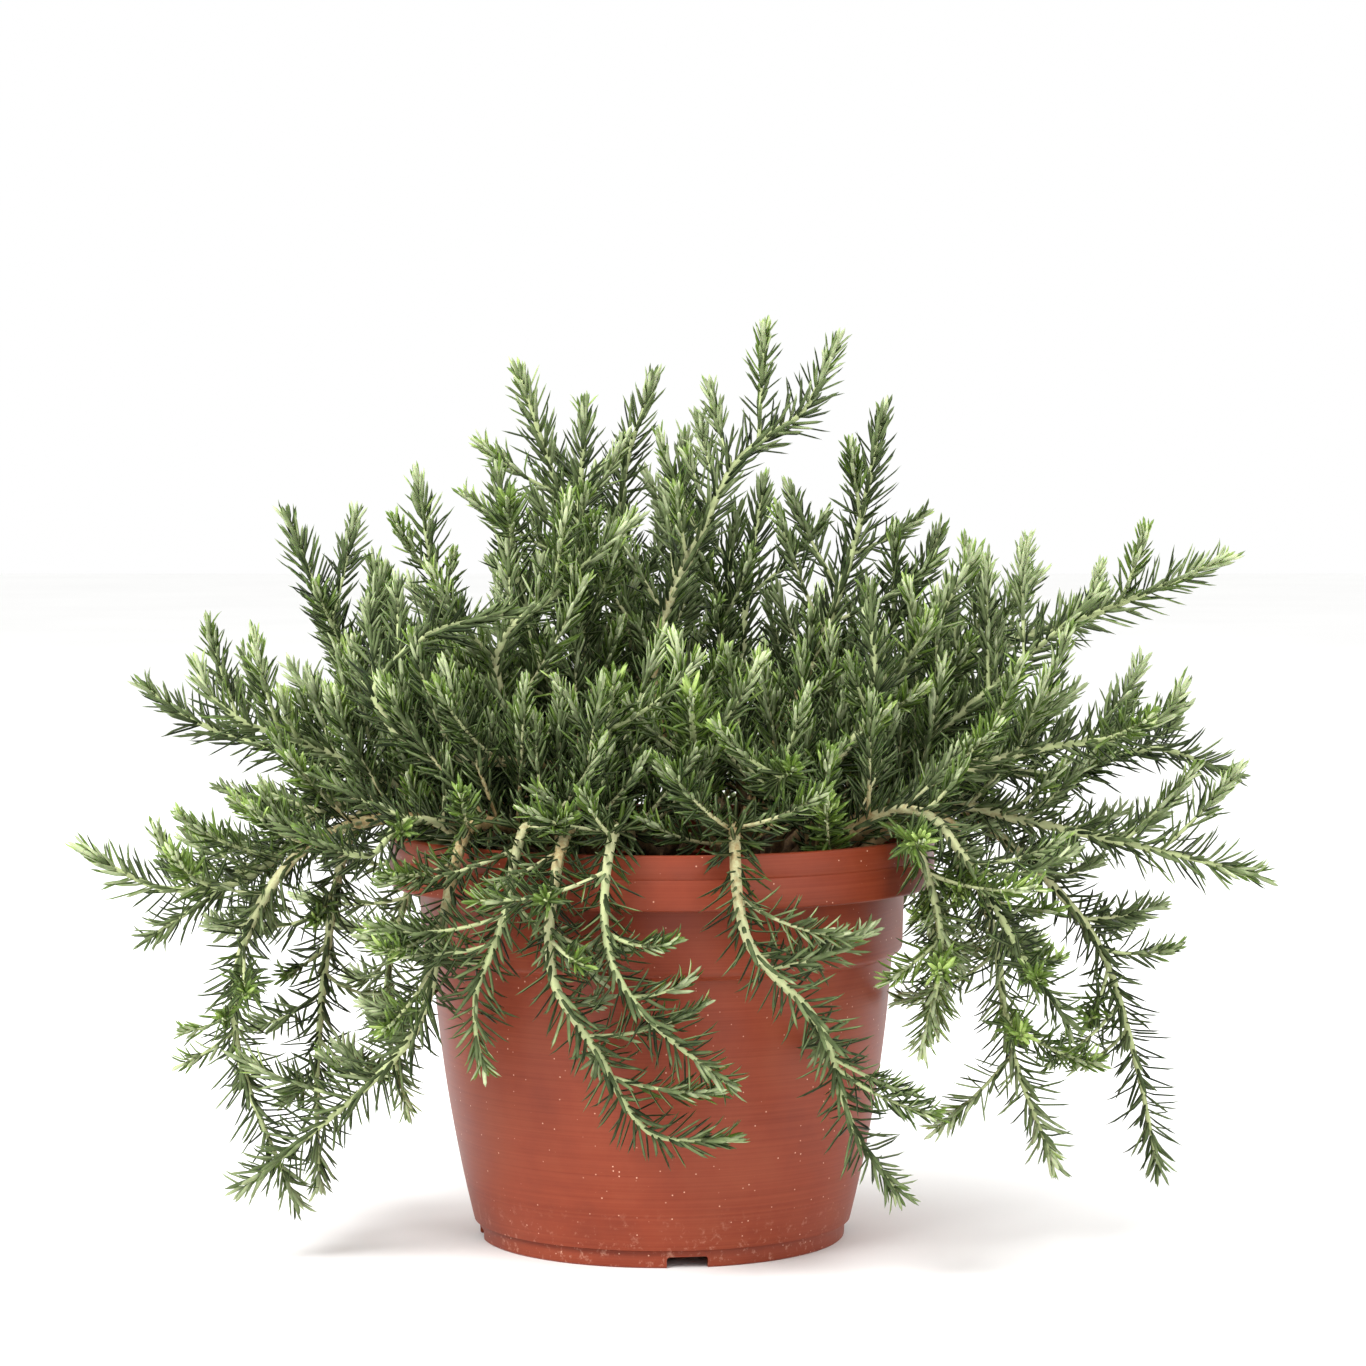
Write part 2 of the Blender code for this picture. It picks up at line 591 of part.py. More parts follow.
def main():
    """Build the whole plant."""
    clear_scene()
    pieces = [build_pot(), build_soil()]
    bark = material("old_wood", (0.12, 0.07, 0.04), 0.9)
    pieces += [build_crown(key, bark) for key in CROWNS]
    leaf = material("rosemary_leaf", (0.06, 0.13, 0.05), 0.55)
    routes = settle(sprig_routes())
    radii = free_radii(routes)
    names = [f"upright_sprig_{number:02d}" for number in range(1, len(UPRIGHT) + 1)]
    names += [f"spreading_sprig_{number:02d}" for number in range(1, len(SPREADING) + 1)]
    names += [f"trailing_sprig_{number:02d}" for number in range(1, len(TRAILING) + 1)]
    for name, route, ring in zip(names, routes, radii):
        pieces.append(build_sprig(name, route, ring, leaf))
    centre_on_origin(pieces)


main()
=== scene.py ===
"""Finish for a potted trailing rosemary: moulded pot, soil, old wood and needle-leaved sprigs."""
import math
import random

import bmesh
import bpy
import numpy as np
from bpy.props import FloatProperty, IntProperty, PointerProperty, StringProperty
from mathutils import Matrix, Vector, noise


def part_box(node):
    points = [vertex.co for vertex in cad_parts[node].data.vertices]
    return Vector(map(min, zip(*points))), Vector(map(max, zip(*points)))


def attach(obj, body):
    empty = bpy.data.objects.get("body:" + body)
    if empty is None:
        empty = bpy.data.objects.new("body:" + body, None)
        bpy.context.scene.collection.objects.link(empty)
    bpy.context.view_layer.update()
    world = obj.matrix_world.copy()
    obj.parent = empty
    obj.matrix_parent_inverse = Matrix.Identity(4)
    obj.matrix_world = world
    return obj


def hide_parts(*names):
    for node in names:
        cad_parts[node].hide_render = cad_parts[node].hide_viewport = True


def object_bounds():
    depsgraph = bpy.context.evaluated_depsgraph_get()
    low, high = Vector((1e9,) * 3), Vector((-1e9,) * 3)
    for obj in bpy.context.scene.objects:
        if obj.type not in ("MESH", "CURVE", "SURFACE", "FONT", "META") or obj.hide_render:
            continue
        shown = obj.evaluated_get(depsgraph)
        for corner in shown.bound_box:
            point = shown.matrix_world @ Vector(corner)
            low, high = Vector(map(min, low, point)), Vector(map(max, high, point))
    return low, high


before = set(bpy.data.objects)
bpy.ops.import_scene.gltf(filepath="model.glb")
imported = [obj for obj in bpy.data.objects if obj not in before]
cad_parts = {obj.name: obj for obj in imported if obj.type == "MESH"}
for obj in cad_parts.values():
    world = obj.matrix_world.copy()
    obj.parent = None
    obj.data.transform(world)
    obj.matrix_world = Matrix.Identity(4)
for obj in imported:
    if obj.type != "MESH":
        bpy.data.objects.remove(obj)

bl_info = {
    "name": "Potted Rosemary",
    "version": (1, 0, 0),
    "blender": (4, 5, 0),
    "location": "View3D > Sidebar > Rosemary",
    "description": "Builds the looks of a trailing rosemary in a plastic nursery pot",
    "category": "Add Mesh",
}

MM = 0.001
UP = Vector((0.0, 0.0, 1.0))
CAD_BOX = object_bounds()
POT_LOW, POT_HIGH = (Vector(corner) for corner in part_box("pot"))
AXIS = Vector(((POT_LOW.x + POT_HIGH.x) / 2, (POT_LOW.y + POT_HIGH.y) / 2, 0.0))
SOIL_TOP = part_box("potting_soil")[1][2]
CROWN_NODES = sorted(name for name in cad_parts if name.startswith("crown_"))
SPRIG_NODES = sorted(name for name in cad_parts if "sprig" in name)


# ---------------------------------------------------------------- settings a user would change

class RosemaryPotSettings(bpy.types.PropertyGroup):
    """Sizes and colours of the pot."""
    wall: FloatProperty(
        name="Wall", description="Thickness of the moulded wall", default=2.2 * MM, unit="LENGTH")
    lip_height: FloatProperty(
        name="Lip height", description="Height of the band round the mouth", default=22.5 * MM,
        unit="LENGTH")
    collar_height: FloatProperty(
        name="Collar height", description="Height of the band below the lip", default=28.5 * MM,
        unit="LENGTH")
    collar_radius: FloatProperty(
        name="Collar radius", description="Outer radius of the collar", default=101.4 * MM,
        unit="LENGTH")
    foot_radius: FloatProperty(
        name="Foot radius", description="Outer radius of the foot ring", default=77.0 * MM,
        unit="LENGTH")
    foot_height: FloatProperty(
        name="Foot height", description="Height of the foot ring", default=7.6 * MM, unit="LENGTH")
    body_slope: FloatProperty(
        name="Body slope", description="Radius that the body gains per height at its foot",
        default=0.26)
    body_bow: FloatProperty(
        name="Body bow", description="How fast the body's slope fades, per metre", default=0.82)
    plastic: StringProperty(
        name="Plastic", description="sRGB colour of the pot's plastic", default="84341A")


class RosemaryLeafSettings(bpy.types.PropertyGroup):
    """Sizes and colours of the leaves and stems."""
    leaf_length: FloatProperty(
        name="Leaf length", description="Length of a full-grown needle", default=17.5 * MM,
        unit="LENGTH")
    leaf_width: FloatProperty(
        name="Leaf width", description="Width of a full-grown needle", default=1.75 * MM,
        unit="LENGTH")
    node_spacing: FloatProperty(
        name="Node spacing", description="Distance between whorls along a stem", default=3.9 * MM,
        unit="LENGTH")
    stem_radius: FloatProperty(
        name="Stem radius", description="Radius of a stem where it leaves the crown",
        default=2.3 * MM, unit="LENGTH")
    seed: IntProperty(name="Seed", description="Seed for the leaves' small differences", default=7)
    leaf_dark: StringProperty(
        name="Old leaf", description="sRGB colour of an old leaf's upper side", default="0C1505")
    leaf_mid: StringProperty(
        name="Leaf", description="sRGB colour of a grown leaf's upper side", default="1F300A")
    leaf_young: StringProperty(
        name="Young leaf", description="sRGB colour of a young leaf's upper side", default="66822B")
    leaf_felt: StringProperty(
        name="Leaf felt", description="sRGB colour of the felted underside", default="6E7C52")


class RosemaryStageSettings(bpy.types.PropertyGroup):
    """Camera and floor."""
    distance: FloatProperty(
        name="Distance", description="Camera's distance from the pot's axis", default=1.745,
        unit="LENGTH")
    height: FloatProperty(
        name="Height", description="Camera's height over the floor", default=0.340, unit="LENGTH")
    pitch: FloatProperty(
        name="Pitch", description="How far the camera looks down", default=math.radians(3.5),
        subtype="ANGLE")
    focal: FloatProperty(name="Focal length", description="Lens in millimetres", default=109.5)
    floor: StringProperty(name="Floor", description="sRGB colour of the floor", default="F9F9F8")


# ---------------------------------------------------------------- shared tools

def linear(code):
    """Linear colour with alpha from an sRGB hex code."""
    channels = [int(code[start:start + 2], 16) / 255 for start in (0, 2, 4)]
    lit = [c / 12.92 if c <= 0.04045 else ((c + 0.055) / 1.055) ** 2.4 for c in channels]
    return (*lit, 1.0)


def add_node(tree, kind, inputs=None, **settings):
    """Add a shader node; an input is a socket to link from or a value to hold."""
    made = tree.nodes.new(kind)
    for key, value in settings.items():
        setattr(made, key, value)
    for key, value in (inputs or {}).items():
        if isinstance(value, bpy.types.NodeSocket):
            tree.links.new(value, made.inputs[key])
        else:
            made.inputs[key].default_value = value
    return made


def new_material(name):
    """An empty node material with its Principled shader."""
    made = bpy.data.materials.new(name)
    made.use_nodes = True
    return made, made.node_tree, made.node_tree.nodes["Principled BSDF"]


def ramp(tree, factor, stops):
    """A colour ramp through (place, colour) stops."""
    made = add_node(tree, "ShaderNodeValToRGB", {"Fac": factor})
    stripe = made.color_ramp
    while len(stripe.elements) < len(stops):
        stripe.elements.new(0.5)
    for element, (place, colour) in zip(stripe.elements, stops):
        element.position = place
        element.color = colour
    return made.outputs["Color"]


def colour_socket(mix):
    """The colour output of a Mix node."""
    return next(item for item in mix.outputs if item.identifier == "Result_Color")


def mix_colour(tree, factor, first, second):
    """Mix two colours, each a socket or a value, by a factor."""
    made = add_node(tree, "ShaderNodeMix", data_type="RGBA")
    ends = {item.identifier: item for item in made.inputs}
    for key, value in (("Factor_Float", factor), ("A_Color", first), ("B_Color", second)):
        if isinstance(value, bpy.types.NodeSocket):
            tree.links.new(value, ends[key])
        else:
            ends[key].default_value = value
    return colour_socket(made)


def add_piece(name, maker, finish, nodes):
    """Turn a bmesh into a finished piece that stands for CAD nodes."""
    mesh = bpy.data.meshes.new(name)
    maker.to_mesh(mesh)
    maker.free()
    mesh.materials.append(finish)
    piece = bpy.data.objects.new(name, mesh)
    bpy.context.collection.objects.link(piece)
    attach(piece, "root")
    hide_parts(*nodes)
    return piece


# ---------------------------------------------------------------- materials

def moulded_polypropylene(colour):
    """Injection-moulded polypropylene, dyed terracotta: satin, with fine rings left by the mould's
    turning, tiny pale flecks of filler and dull scuffs low down."""
    made, tree, shader = new_material("moulded_terracotta_polypropylene")
    place = add_node(tree, "ShaderNodeTexCoord").outputs["Object"]
    # Rings 0.7 mm apart, and blotches 45 mm across.
    rings = add_node(tree, "ShaderNodeMapping", {"Vector": place, "Scale": (6.0, 6.0, 1400.0)})
    ring_noise = add_node(
        tree, "ShaderNodeTexNoise", {"Vector": rings.outputs["Vector"], "Scale": 1.0, "Detail": 3.0})
    cloud = add_node(
        tree, "ShaderNodeTexNoise", {"Vector": place, "Scale": 22.0, "Detail": 5.0, "Roughness": 0.62})
    # Cells 2.4 mm across. About one in six holds a fleck half a millimetre across.
    fleck = add_node(tree, "ShaderNodeTexVoronoi", {"Vector": place, "Scale": 420.0, "Randomness": 1.0})
    is_fleck = add_node(
        tree, "ShaderNodeMapRange",
        {"Value": fleck.outputs["Distance"], "From Min": 0.16, "From Max": 0.08})
    chance = add_node(tree, "ShaderNodeSeparateColor", {"Color": fleck.outputs["Color"]})
    rare = add_node(
        tree, "ShaderNodeMapRange",
        {"Value": chance.outputs["Red"], "From Min": 0.80, "From Max": 0.86})
    fleck_mask = add_node(
        tree, "ShaderNodeMath", {0: is_fleck.outputs["Result"], 1: rare.outputs["Result"]},
        operation="MULTIPLY")
    body = ramp(tree, cloud.outputs["Fac"], [
        (0.25, linear("742B15")), (0.5, linear(colour)), (0.78, linear("8D4227"))])
    rings_tone = ramp(tree, ring_noise.outputs["Fac"], [
        (0.3, linear("6A2512")), (0.7, linear("A5553A"))])
    ringed = mix_colour(tree, 0.16, body, rings_tone)
    # Scuffs on the lowest 26 mm, in marks of about 4 mm.
    low = add_node(tree, "ShaderNodeSeparateXYZ", {"Vector": place})
    scuff_low = add_node(
        tree, "ShaderNodeMapRange",
        {"Value": low.outputs["Z"], "From Min": 26 * MM, "From Max": 4 * MM})
    scuff = add_node(
        tree, "ShaderNodeTexNoise", {"Vector": place, "Scale": 260.0, "Detail": 6.0, "Roughness": 0.75})
    scuff_mark = add_node(
        tree, "ShaderNodeMapRange",
        {"Value": scuff.outputs["Fac"], "From Min": 0.56, "From Max": 0.72})
    scuff_mask = add_node(
        tree, "ShaderNodeMath", {0: scuff_low.outputs["Result"], 1: scuff_mark.outputs["Result"]},
        operation="MULTIPLY")
    pale = add_node(
        tree, "ShaderNodeMath", {0: scuff_mask.outputs["Value"], 1: 0.55}, operation="MULTIPLY")
    most = add_node(
        tree, "ShaderNodeMath", {0: fleck_mask.outputs["Value"], 1: pale.outputs["Value"]},
        operation="MAXIMUM")
    colour_out = mix_colour(tree, most.outputs["Value"], ringed, linear("DDA98F"))
    tree.links.new(colour_out, shader.inputs["Base Color"])
    rough = add_node(
        tree, "ShaderNodeMapRange", {"Value": cloud.outputs["Fac"], "To Min": 0.36, "To Max": 0.52})
    tree.links.new(rough.outputs["Result"], shader.inputs["Roughness"])
    height = add_node(
        tree, "ShaderNodeMath", {0: ring_noise.outputs["Fac"], 1: scuff.outputs["Fac"]},
        operation="ADD")
    bump = add_node(
        tree, "ShaderNodeBump",
        {"Height": height.outputs["Value"], "Strength": 0.22, "Distance": 0.15 * MM})
    tree.links.new(bump.outputs["Normal"], shader.inputs["Normal"])
    shader.inputs["IOR"].default_value = 1.49
    # Handling and weather have dulled the skin, so it mirrors less than new plastic.
    shader.inputs["Specular IOR Level"].default_value = 0.3
    return made


def living_leaf(settings):
    """Living rosemary leaf: waxy green above with a pale groove, white felt below under rolled
    margins, so each needle shows a dark glossy side and a dull silvery one."""
    made, tree, shader = new_material("living_rosemary_leaf")
    tint = add_node(tree, "ShaderNodeAttribute", attribute_name="tint").outputs["Fac"]
    under = add_node(tree, "ShaderNodeAttribute", attribute_name="underside").outputs["Fac"]
    along = add_node(tree, "ShaderNodeAttribute", attribute_name="along").outputs["Fac"]
    groove = add_node(tree, "ShaderNodeAttribute", attribute_name="groove").outputs["Fac"]
    place = add_node(tree, "ShaderNodeTexCoord").outputs["Object"]
    # Patches of lighter and darker green, 6 mm across.
    patch = add_node(tree, "ShaderNodeTexNoise", {"Vector": place, "Scale": 160.0, "Detail": 3.0})
    shifted = add_node(
        tree, "ShaderNodeMapRange",
        {"Value": patch.outputs["Fac"], "From Min": 0.3, "From Max": 0.7,
         "To Min": -0.16, "To Max": 0.16})
    age = add_node(tree, "ShaderNodeMath", {0: tint, 1: shifted.outputs["Result"]}, operation="ADD")
    upper = ramp(tree, age.outputs["Value"], [
        (0.0, linear(settings.leaf_dark)), (0.42, linear(settings.leaf_mid)),
        (0.85, linear(settings.leaf_young)), (1.0, linear("A9BF6C"))])
    felt = ramp(tree, age.outputs["Value"], [
        (0.0, linear("2B371F")), (0.5, linear(settings.leaf_felt)), (1.0, linear("C3CDA2"))])
    base = add_node(
        tree, "ShaderNodeMapRange", {"Value": along, "From Min": 0.22, "From Max": 0.0, "To Max": 0.35})
    upper = mix_colour(tree, base.outputs["Result"], upper, linear("B4C084"))
    line = add_node(tree, "ShaderNodeMath", {0: groove, 1: 0.28}, operation="MULTIPLY")
    upper = mix_colour(tree, line.outputs["Value"], upper, linear("A8BA80"))
    both = mix_colour(tree, under, upper, felt)
    tree.links.new(both, shader.inputs["Base Color"])
    rough = add_node(tree, "ShaderNodeMapRange", {"Value": under, "To Min": 0.40, "To Max": 0.85})
    tree.links.new(rough.outputs["Result"], shader.inputs["Roughness"])
    shader.inputs["IOR"].default_value = 1.45
    # The bloom of wax scatters most of the shine.
    shader.inputs["Specular IOR Level"].default_value = 0.22
    shader.inputs["Subsurface Weight"].default_value = 0.12
    shader.inputs["Subsurface Radius"].default_value = (0.4, 1.0, 0.15)
    shader.inputs["Subsurface Scale"].default_value = 0.8 * MM
    return made


def rosemary_stem():
    """Rosemary stem: downy pale green where young, tan and then brown flaking bark where old."""
    made, tree, shader = new_material("rosemary_stem_bark")
    age = add_node(tree, "ShaderNodeAttribute", attribute_name="age").outputs["Fac"]
    place = add_node(tree, "ShaderNodeTexCoord").outputs["Object"]
    # Bark flakes 2.4 mm long.
    flake = add_node(
        tree, "ShaderNodeTexNoise", {"Vector": place, "Scale": 420.0, "Detail": 5.0, "Roughness": 0.7})
    shifted = add_node(
        tree, "ShaderNodeMapRange",
        {"Value": flake.outputs["Fac"], "From Min": 0.3, "From Max": 0.7,
         "To Min": -0.18, "To Max": 0.18})
    tone = add_node(tree, "ShaderNodeMath", {0: age, 1: shifted.outputs["Result"]}, operation="ADD")
    colour = ramp(tree, tone.outputs["Value"], [
        (0.0, linear("B9C58C")), (0.3, linear("C7C898")), (0.58, linear("A98F60")),
        (0.82, linear("7A5D3D")), (1.0, linear("4A3726"))])
    tree.links.new(colour, shader.inputs["Base Color"])
    shader.inputs["Roughness"].default_value = 0.8
    bump = add_node(
        tree, "ShaderNodeBump",
        {"Height": flake.outputs["Fac"], "Strength": 0.5, "Distance": 0.3 * MM})
    tree.links.new(bump.outputs["Normal"], shader.inputs["Normal"])
    return made


def moist_soil():
    """Moist peat and bark potting mix: near black crumbs with brown bark and a few pale grains."""
    made, tree, shader = new_material("moist_potting_mix")
    place = add_node(tree, "ShaderNodeTexCoord").outputs["Object"]
    # Crumbs 3 mm across and fibres of 1.4 mm.
    crumb = add_node(tree, "ShaderNodeTexVoronoi", {"Vector": place, "Scale": 330.0})
    fibre = add_node(tree, "ShaderNodeTexNoise", {"Vector": place, "Scale": 700.0, "Detail": 6.0})
    parts = add_node(tree, "ShaderNodeSeparateColor", {"Color": crumb.outputs["Color"]})
    colour = ramp(tree, parts.outputs["Red"], [
        (0.0, linear("1E1510")), (0.55, linear("33241A")), (0.85, linear("4D3826")),
        (0.97, linear("8C7C66"))])
    colour = mix_colour(tree, fibre.outputs["Fac"], colour, linear("140D09"))
    tree.links.new(colour, shader.inputs["Base Color"])
    shader.inputs["Roughness"].default_value = 0.93
    bump = add_node(
        tree, "ShaderNodeBump",
        {"Height": crumb.outputs["Distance"], "Strength": 0.8, "Distance": 1.2 * MM})
    tree.links.new(bump.outputs["Normal"], shader.inputs["Normal"])
    return made


def pale_floor(code):
    """Matte painted studio floor."""
    made, tree, shader = new_material("matte_studio_floor")
    place = add_node(tree, "ShaderNodeTexCoord").outputs["Object"]
    grain = add_node(tree, "ShaderNodeTexNoise", {"Vector": place, "Scale": 3.0, "Detail": 2.0})
    colour = ramp(tree, grain.outputs["Fac"], [(0.3, linear(code)), (0.7, linear("FCFCFB"))])
    tree.links.new(colour, shader.inputs["Base Color"])
    shader.inputs["Roughness"].default_value = 0.9
    return made


# ---------------------------------------------------------------- pot

POT_STEPS = 160
EDGE = 1.2 * MM
COLLAR_EDGE = 3.0 * MM
FOOT_WIDTH = 3.2 * MM
FLOOR_THICKNESS = 2.6 * MM
CENTRE_DRAIN_RADIUS = 6.0 * MM
DRAIN_COUNT = 4
DRAIN_FIRST_ANGLE = math.radians(-82)
DRAIN_RADIUS = 5.0 * MM
DRAIN_CIRCLE = 58 * MM
FOOT_GAP_WIDTH = 17 * MM
FOOT_GAP_HEIGHT = 4.6 * MM
BODY_STEPS = 20
FOOT_TAPER = 0.3 * MM
FOOT_STEP = 0.5 * MM
LIP_GROOVE_PLACE = 0.56             # share of the lip's height, from its lower edge
LIP_GROOVE_DEPTH = 0.7 * MM
LIP_GROOVE_EDGE = 0.2 * MM
LIP_GROOVE_HALF = 0.8 * MM
GAP_ROUNDING = 1.4 * MM
SHARP_ANGLE = math.radians(40)


def body_radius(pot, height):
    """Outer radius of the bowed body at a height."""
    return pot.foot_radius + EDGE / 2 + pot.body_slope * height - pot.body_bow * height * height


def outside_radius(pot, height):
    """Outer radius of the whole pot at a height."""
    top = POT_HIGH.z
    if height > top - pot.lip_height:
        return (POT_HIGH.x - POT_LOW.x) / 2
    if height > top - pot.lip_height - pot.collar_height:
        return pot.collar_radius
    return body_radius(pot, max(height, 0.0))


def arc(middle, radius, first, last, steps):
    """Points of an arc in the (radius, height) plane; angles in degrees."""
    angles = [math.radians(first + (last - first) * step / steps) for step in range(steps + 1)]
    return [(middle[0] + radius * math.cos(a), middle[1] + radius * math.sin(a)) for a in angles]


def pot_outline(pot):
    """Closed outline of the pot's wall, from the foot ring up, over the lip and down inside."""
    lip = (POT_HIGH.x - POT_LOW.x) / 2
    top = POT_HIGH.z
    lip_low = top - pot.lip_height
    collar_low = lip_low - pot.collar_height
    wall = pot.wall
    floor_top = pot.foot_height + FLOOR_THICKNESS
    outline = [
        (pot.foot_radius - EDGE / 2, 0.0),
        (pot.foot_radius, EDGE / 2),
        (pot.foot_radius + EDGE / 2 - FOOT_TAPER, pot.foot_height - EDGE),
        (pot.foot_radius + EDGE / 2 - FOOT_STEP, pot.foot_height - EDGE / 3),
    ]
    for step in range(BODY_STEPS + 1):
        height = pot.foot_height + (collar_low - EDGE - pot.foot_height) * step / BODY_STEPS
        outline.append((body_radius(pot, height), height))
    outline += arc(
        (pot.collar_radius - COLLAR_EDGE, collar_low + COLLAR_EDGE), COLLAR_EDGE, -90, 0, 6)
    outline += [
        (pot.collar_radius + EDGE / 2, lip_low - EDGE / 4), (pot.collar_radius + EDGE, lip_low),
    ]
    outline += arc((lip - EDGE, lip_low + EDGE), EDGE, -90, 0, 4)
    groove = lip_low + LIP_GROOVE_PLACE * pot.lip_height
    outline += [
        (lip - LIP_GROOVE_EDGE, groove - LIP_GROOVE_HALF),
        (lip - LIP_GROOVE_DEPTH, groove),
        (lip - LIP_GROOVE_EDGE, groove + LIP_GROOVE_HALF),
    ]
    outline += arc((lip - EDGE, top - EDGE), EDGE, 0, 90, 4)
    outline += arc((lip - wall + EDGE / 2, top - EDGE / 2), EDGE / 2, 90, 180, 3)
    shelf = lip_low + wall
    corner = collar_low + wall
    outline += [
        (lip - wall, shelf), (pot.collar_radius - wall, shelf), (pot.collar_radius - wall, corner),
    ]
    for step in range(BODY_STEPS, -1, -1):
        height = floor_top + (corner - wall - floor_top) * step / BODY_STEPS
        outline.append((body_radius(pot, height) - wall, height))
    ring_inside = pot.foot_radius - FOOT_WIDTH
    outline += [
        (CENTRE_DRAIN_RADIUS, floor_top), (CENTRE_DRAIN_RADIUS, pot.foot_height),
        (ring_inside, pot.foot_height), (ring_inside, 0.0),
    ]
    return outline


def spin_outline(outline, steps, closed=True):
    """Spin an outline of (radius, height) points round the pot's axis."""
    maker = bmesh.new()
    verts = [maker.verts.new((AXIS.x + radius, AXIS.y, height)) for radius, height in outline]
    edges = [maker.edges.new(pair) for pair in zip(verts, verts[1:])]
    if closed:
        edges.append(maker.edges.new((verts[-1], verts[0])))
    bmesh.ops.spin(
        maker, geom=verts + edges, cent=AXIS, axis=UP, angle=math.tau, steps=steps, use_merge=True)
    bmesh.ops.remove_doubles(maker, verts=maker.verts, dist=0.005 * MM)
    bmesh.ops.recalc_face_normals(maker, faces=maker.faces)
    return maker


def drain_tools(pot):
    """Closed shapes for the foot ring's gaps and the floor's holes, joined in one mesh."""
    maker = bmesh.new()
    for number in range(DRAIN_COUNT):
        angle = DRAIN_FIRST_ANGLE + number * math.tau / DRAIN_COUNT
        turn = Matrix.Translation(AXIS) @ Matrix.Rotation(angle, 4, "Z")
        size = Matrix.Diagonal((4 * FOOT_WIDTH, FOOT_GAP_WIDTH, 2 * FOOT_GAP_HEIGHT, 1.0))
        place = turn @ Matrix.Translation((pot.foot_radius, 0, 0)) @ size
        gap = bmesh.ops.create_cube(maker, size=1.0, matrix=place)
        outward = turn.to_3x3() @ Vector((1, 0, 0))
        upper = dict.fromkeys(edge for vert in gap["verts"] for edge in vert.link_edges
                              if min(end.co.z for end in edge.verts) > 0)
        radial = [edge for edge in upper if abs(
            (edge.verts[0].co - edge.verts[1].co).normalized().dot(outward)) > 0.9]
        bmesh.ops.bevel(maker, geom=radial, offset=GAP_ROUNDING, segments=4, profile=0.5,
                        affect="EDGES", material=-1)
        hole = turn @ Matrix.Translation((DRAIN_CIRCLE, 0, pot.foot_height + FLOOR_THICKNESS / 2))
        bmesh.ops.create_cone(maker, cap_ends=True, segments=32, radius1=DRAIN_RADIUS,
                              radius2=DRAIN_RADIUS, depth=4 * FLOOR_THICKNESS, matrix=hole)
    return maker


def cut_out(piece, maker):
    """Cut closed shapes out of a piece and apply the cut."""
    mesh = bpy.data.meshes.new("cut_shapes")
    maker.to_mesh(mesh)
    maker.free()
    tool = bpy.data.objects.new("cut_shapes", mesh)
    bpy.context.collection.objects.link(tool)
    step = piece.modifiers.new("drains", "BOOLEAN")
    step.operation = "DIFFERENCE"
    step.solver = "EXACT"
    step.object = tool
    graph = bpy.context.evaluated_depsgraph_get()
    finished = bpy.data.meshes.new_from_object(piece.evaluated_get(graph))
    piece.modifiers.clear()
    old = piece.data
    piece.data = finished
    bpy.data.meshes.remove(old)
    bpy.data.objects.remove(tool)
    bpy.data.meshes.remove(mesh)


class ROSEMARY_OT_pot(bpy.types.Operator):
    """Turn the moulded nursery pot and cut its drainage"""
    bl_idname = "rosemary.pot"
    bl_label = "Pot"

    def execute(self, context):
        pot = context.scene.rosemary_pot
        maker = spin_outline(pot_outline(pot), POT_STEPS)
        plastic = moulded_polypropylene(pot.plastic)
        piece = add_piece("nursery_pot", maker, plastic, ["pot"])
        cut_out(piece, drain_tools(pot))
        piece.data.shade_smooth()
        piece.data.set_sharp_from_angle(angle=SHARP_ANGLE)
        return {"FINISHED"}


# ---------------------------------------------------------------- soil and crowns

SOIL_RINGS = 30
SOIL_STEPS = 96
SOIL_AIR = 0.4 * MM
LUMP_HEIGHT = 1.6 * MM
LUMP_SINK = 0.6 * MM
LUMPS_PER_METRE = 90.0
CRUMB_COUNT = 420
CRUMB_SIZES = (0.8, 2.6)            # millimetres
CRUMB_SEED = 21
CROWN_SWELL = 1.02                  # the wood's radius over the solid's
KNOTS_PER_METRE = 120.0
KNOT_DEPTH = 0.10
OLD_WOOD_AGE = 0.92


class ROSEMARY_OT_soil(bpy.types.Operator):
    """Fill the pot with uneven potting mix and loose crumbs"""
    bl_idname = "rosemary.soil"
    bl_label = "Soil"

    def execute(self, context):
        pot = context.scene.rosemary_pot
        low, high = (Vector(corner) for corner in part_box("potting_soil"))
        radius = (high.x - low.x) / 2
        bottom = body_radius(pot, low.z) - pot.wall - SOIL_AIR
        outline = [(radius * step / SOIL_RINGS, high.z) for step in range(SOIL_RINGS + 1)]
        outline += [(bottom, low.z), (0.0, low.z)]
        maker = spin_outline(outline, SOIL_STEPS, closed=False)
        for vert in maker.verts:
            reach = (vert.co - AXIS).to_2d().length
            if vert.co.z > high.z - 1 * MM and reach < radius * 0.985:
                lumps = noise.fractal(vert.co * LUMPS_PER_METRE, 0.6, 2.0, 4)
                vert.co.z += LUMP_HEIGHT * lumps - LUMP_SINK
        draw = random.Random(CRUMB_SEED)
        for _ in range(CRUMB_COUNT):
            angle = draw.uniform(0, math.tau)
            reach = radius * 0.96 * math.sqrt(draw.random())
            size = draw.uniform(*CRUMB_SIZES) * MM
            height = high.z + 0.2 * size
            place = AXIS + Vector((reach * math.cos(angle), reach * math.sin(angle), height))
            turn = Matrix.Rotation(
                draw.uniform(0, math.tau), 4, Vector((draw.random(), draw.random(), 0.3)))
            stretch = Matrix.Diagonal((size, size * draw.uniform(0.5, 1.0), size * 0.6, 1.0))
            matrix = Matrix.Translation(place) @ turn @ stretch
            bmesh.ops.create_icosphere(maker, subdivisions=1, radius=1.0, matrix=matrix)
        soil = add_piece("soil_surface", maker, moist_soil(), ["potting_soil"])
        soil.data.shade_smooth()
        return {"FINISHED"}


